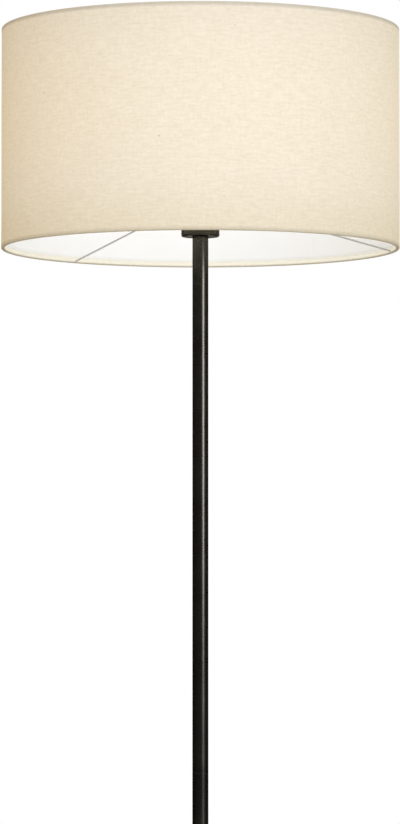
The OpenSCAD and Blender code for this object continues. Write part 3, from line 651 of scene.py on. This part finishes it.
cap_thread = thread(LAMP_PITCH, LAMP_THREAD_DEPTH, CAP_Z + 2.5, CAP_Z + CAP_H - 2.5)
lip, cap_in, cap_top = 11.5, CAP_R - CAP_WALL, CAP_Z + CAP_H
cap = dense(rounded([(lip - CAP_WALL, CAP_Z), (lip, CAP_Z, 0.1), (CAP_R, CAP_Z + 2, 0.5), (CAP_R, cap_top),
                     (cap_in, cap_top), (cap_in, CAP_Z + 2.1, 0.3), (lip - CAP_WALL, CAP_Z + 0.4)]), 0.3)
threaded = turned(cap, 96, shift=lambda a, r, z: np.where(r > lip + 0.6, cap_thread(a, r, z), 0))
piece("screw_cap", threaded, "bulb", nickel, "bulb_cap")


def bulb_line(inset):
    """Outline of the bulb's wall: from 8 mm inside the cap up the neck, along a hollow curve, then round the
    ball to its top. The two arcs meet where the ball's own radius makes 48 degrees below level."""
    angle = math.radians(48)
    join = np.array([BULB_R * math.cos(angle), BULB_MID - BULB_R * math.sin(angle)])
    cove = (join[0] - NECK_R) / (1 - math.cos(angle))
    middle = np.array([NECK_R + cove, join[1] - cove * math.sin(angle)])
    b = np.linspace(0, angle, 14)[:-1, None]
    c = np.linspace(-angle, math.pi / 2, 34)[:, None]
    return np.vstack([[[NECK_R - inset, CAP_Z + CAP_H - 8]],
                      middle + (cove + inset) * np.hstack([-np.cos(b), np.sin(b)]),
                      [0, BULB_MID] + (BULB_R - inset) * np.hstack([np.cos(c), np.sin(c)])])


glass = np.vstack([bulb_line(0)[::-1], bulb_line(GLASS_T)])
glass[[0, -1], 0] = 0
opal_piece = piece("opal_bulb", turned(glass, 96, closed=False), "bulb", opal, "bulb_glass")

# ---- camera, light and floor ----

# Fitted to the two rims of the shade: metres in front of the column and above the floor, the upward pitch
# in radians, and the millimetres of the lens for a sensor as long as the picture is high
CAMERA_BACK, CAMERA_Z, CAMERA_PITCH, LENS, SENSOR = 6.0415, 0.7785, 0.061, 210.96, 36
# The column stands this far right of the middle of the picture, in pixels of its height
COLUMN_PIXELS, PICTURE_PIXELS = 0.38, 824

view = bpy.data.cameras.new("view")
view.lens, view.sensor_width = LENS, SENSOR
camera = bpy.data.objects.new("view", view)
scene.collection.objects.link(camera)
camera.location = (0, -CAMERA_BACK, CAMERA_Z)
camera.rotation_euler = (math.pi / 2 + CAMERA_PITCH, 0, COLUMN_PIXELS / PICTURE_PIXELS * SENSOR / LENS)
scene.camera = camera


def softbox(name, width, height, angle, distance, middle_z, radiance, tone):
    """A rectangular lamp that faces the column from an angle right of the camera. Its power in watts is its
    radiance times its area times pi."""
    lamp = bpy.data.lights.new(name, "AREA")
    lamp.shape, lamp.size, lamp.size_y = "RECTANGLE", width, height
    lamp.energy, lamp.color = radiance * width * height * math.pi, tone
    made = bpy.data.objects.new(name, lamp)
    scene.collection.objects.link(made)
    turn = math.radians(angle)
    made.location = (distance * math.sin(turn), -distance * math.cos(turn), middle_z)
    made.rotation_euler = (math.pi / 2, 0, turn)
    return made


strip = softbox("tall_softbox", width=1.0, height=0.80, angle=44.2, distance=3.0, middle_z=1.43,
                radiance=12.4, tone=colour("#F5F7FF")[:3])
# It draws the highlight down the column; the world below lights the matt surfaces
strip.visible_diffuse = strip.visible_camera = False

# The lamp is lit: light starts inside the bulb, whose glass and stem let it out without a shadow
glow = bpy.data.lights.new("bulb_light", "POINT")
glow.energy, glow.shadow_soft_size, glow.color = 0.67, 24 * MM, colour("#FBFBFB")[:3]
lit = bpy.data.objects.new("bulb_light", glow)
scene.collection.objects.link(lit)
lit.location = (0, 0, BULB_MID * MM)
for shadowless in (opal_piece, nodes["bulb_stem"], nodes["led_filaments"], nodes["bulb_driver"]):
    shadowless.visible_shadow = False

# The camera sees a white world. Gloss and glass see that white as a backdrop behind the lamp, above the
# horizon, and elsewhere a dim room, lighter overhead, with two low windows on the far side, which draw the
# column's highlight for views from the back. What the world casts on matt surfaces is a large soft light
# from the front and a weaker light from all round, warm from the left and neutral from the right. Both fall
# off below the horizon, most of all on the left.
world = bpy.data.worlds.new("studio")
scene.world = world
world.use_nodes = True
sky = world.node_tree
sky.nodes.clear()
ray = add(sky, "LightPath")
way = add(sky, "TexCoord").outputs["Generated"]
high = add(sky, "SeparateXYZ", {0: way}).outputs[2]
# The front light's middle is 5 degrees right of the camera and 9 degrees above level
front = add(sky, "VectorMath", {0: way, 1: (0.0861, -0.9839, 0.1564)}, operation="DOT_PRODUCT")
facing = add(sky, "Math", {0: front.outputs["Value"], 1: 0.0}, operation="MAXIMUM").outputs[0]
rightward = add(sky, "SeparateXYZ", {0: way}).outputs[0]
across = add(sky, "MapRange", {"Value": rightward, "From Min": -1.0}).outputs[0]
around = add(sky, "Mix", {0: across, 6: colour("#8A754E"), 7: colour("#A3A19D")}, data_type="RGBA").outputs[2]
cast = add(sky, "Mix", {0: facing, 6: around, 7: colour("#F2F6FF")}, data_type="RGBA").outputs[2]
room = add(sky, "MapRange", {"Value": high, "From Min": 0.015, "From Max": 0.125, "To Min": 0.008,
                             "To Max": 0.2})
ceiling = add(sky, "MapRange", {"Value": high, "From Min": 0.3, "From Max": 1.0, "To Max": 0.5})
room = add(sky, "Math", {0: room.outputs[0], 1: ceiling.outputs[0]}, operation="ADD")
# The windows are 18 degrees right and left of straight back and 15 degrees below level, and the right one
# is the brighter
for side, strength in ((1, 4.5), (-1, 2.5)):
    toward = add(sky, "VectorMath", {0: way, 1: (side * 0.30, 0.916, -0.265)}, operation="DOT_PRODUCT")
    window = add(sky, "MapRange", {"Value": toward.outputs["Value"], "From Min": 0.975, "From Max": 0.992,
                                   "To Max": strength}, interpolation_type="SMOOTHSTEP")
    room = add(sky, "Math", {0: room.outputs[0], 1: window.outputs[0]}, operation="ADD")
behind = add(sky, "VectorMath", {0: way, 1: (0, 1, 0)}, operation="DOT_PRODUCT").outputs["Value"]
sweep = add(sky, "MapRange", {"Value": behind, "From Min": 0.87, "From Max": 0.93},
            interpolation_type="SMOOTHSTEP")
horizon = add(sky, "MapRange", {"Value": high, "From Min": -0.02, "From Max": 0.02})
backdrop = add(sky, "Math", {0: sweep.outputs[0], 1: horizon.outputs[0]}, operation="MULTIPLY").outputs[0]
shown = add(sky, "Mix", {0: backdrop, 2: room.outputs[0], 3: 1.0}, data_type="FLOAT").outputs[0]
mirrored = add(sky, "Math", {0: ray.outputs["Is Glossy Ray"], 1: ray.outputs["Is Transmission Ray"]},
               operation="MAXIMUM").outputs[0]
seen = add(sky, "Mix", {0: mirrored, 6: cast, 7: shown}, data_type="RGBA").outputs[2]
seen = add(sky, "Mix", {0: ray.outputs["Is Camera Ray"], 6: seen, 7: colour("#FFFFFF")},
           data_type="RGBA").outputs[2]
shine = add(sky, "Math", {0: mirrored, 1: ray.outputs["Is Camera Ray"]}, operation="MAXIMUM").outputs[0]
low = add(sky, "Math", {0: across, 1: 0.7, 2: 0.34}, operation="MULTIPLY_ADD").outputs[0]
below = add(sky, "MapRange", {"Value": high, "From Min": -0.45, "From Max": 0.05, "To Min": low,
                              "To Max": 1.884}, interpolation_type="SMOOTHSTEP").outputs[0]
power = add(sky, "Mix", {0: shine, 2: below, 3: 1.0}, data_type="FLOAT").outputs[0]
studio = add(sky, "Background", {"Color": seen, "Strength": power})
add(sky, "OutputWorld", {"Surface": studio.outputs[0]})

# A pale matt floor, half a millimetre under the foot, that runs out into the white backdrop
bpy.ops.mesh.primitive_circle_add(vertices=96, radius=1.6, fill_type="NGON", location=(0, 0, -0.5 * MM))
floor = bpy.context.object
floor.name = "floor"
matt, tree = blank("pale_floor")
spot = add(tree, "TexCoord").outputs["Object"]
reach = add(tree, "VectorMath", {0: spot}, operation="LENGTH").outputs["Value"]
grain = add(tree, "TexNoise", {"Vector": spot, "Scale": 1 / (30 * MM), "Detail": 3.0})
pale = add(tree, "Mix", {0: grain.outputs["Fac"], 6: colour("#E8E6E2"), 7: colour("#EDEBE8")},
           data_type="RGBA")
path = add(tree, "LightPath")
looked = add(tree, "Math", {0: path.outputs["Is Glossy Ray"], 1: path.outputs["Is Transmission Ray"]},
             operation="MAXIMUM")
# In gloss and glass only the part behind the lamp belongs to the white backdrop
back = add(tree, "MapRange", {"Value": add(tree, "SeparateXYZ", {0: spot}).outputs[1]})
looked = add(tree, "Math", {0: looked.outputs[0], 1: back.outputs[0]}, operation="MULTIPLY")
looked = add(tree, "Math", {0: path.outputs["Is Camera Ray"], 1: looked.outputs[0]}, operation="MAXIMUM")
far = add(tree, "MapRange", {"Value": reach, "From Min": 0.4, "From Max": 1.55},
          interpolation_type="SMOOTHSTEP")
fade = add(tree, "Math", {0: far.outputs[0], 1: looked.outputs[0]}, operation="MULTIPLY")
# The floor's own glow lifts its near part too, where it is looked at
lift = add(tree, "Math", {0: looked.outputs[0], 1: 0.3}, operation="MULTIPLY")
matte = add(tree, "BsdfDiffuse", {"Color": pale.outputs[2]})
raise_it = add(tree, "Emission", {"Color": colour("#FFFFFF"), "Strength": lift.outputs[0]})
near = add(tree, "AddShader", {0: matte.outputs[0], 1: raise_it.outputs[0]})
white = add(tree, "Emission", {"Color": colour("#FFFFFF"), "Strength": 1.0})
blend = add(tree, "MixShader", {0: fade.outputs[0], 1: near.outputs[0], 2: white.outputs[0]})
add(tree, "OutputMaterial", {"Surface": blend.outputs[0]})
floor.data.materials.append(matt)

scene.view_settings.view_transform = "Standard"
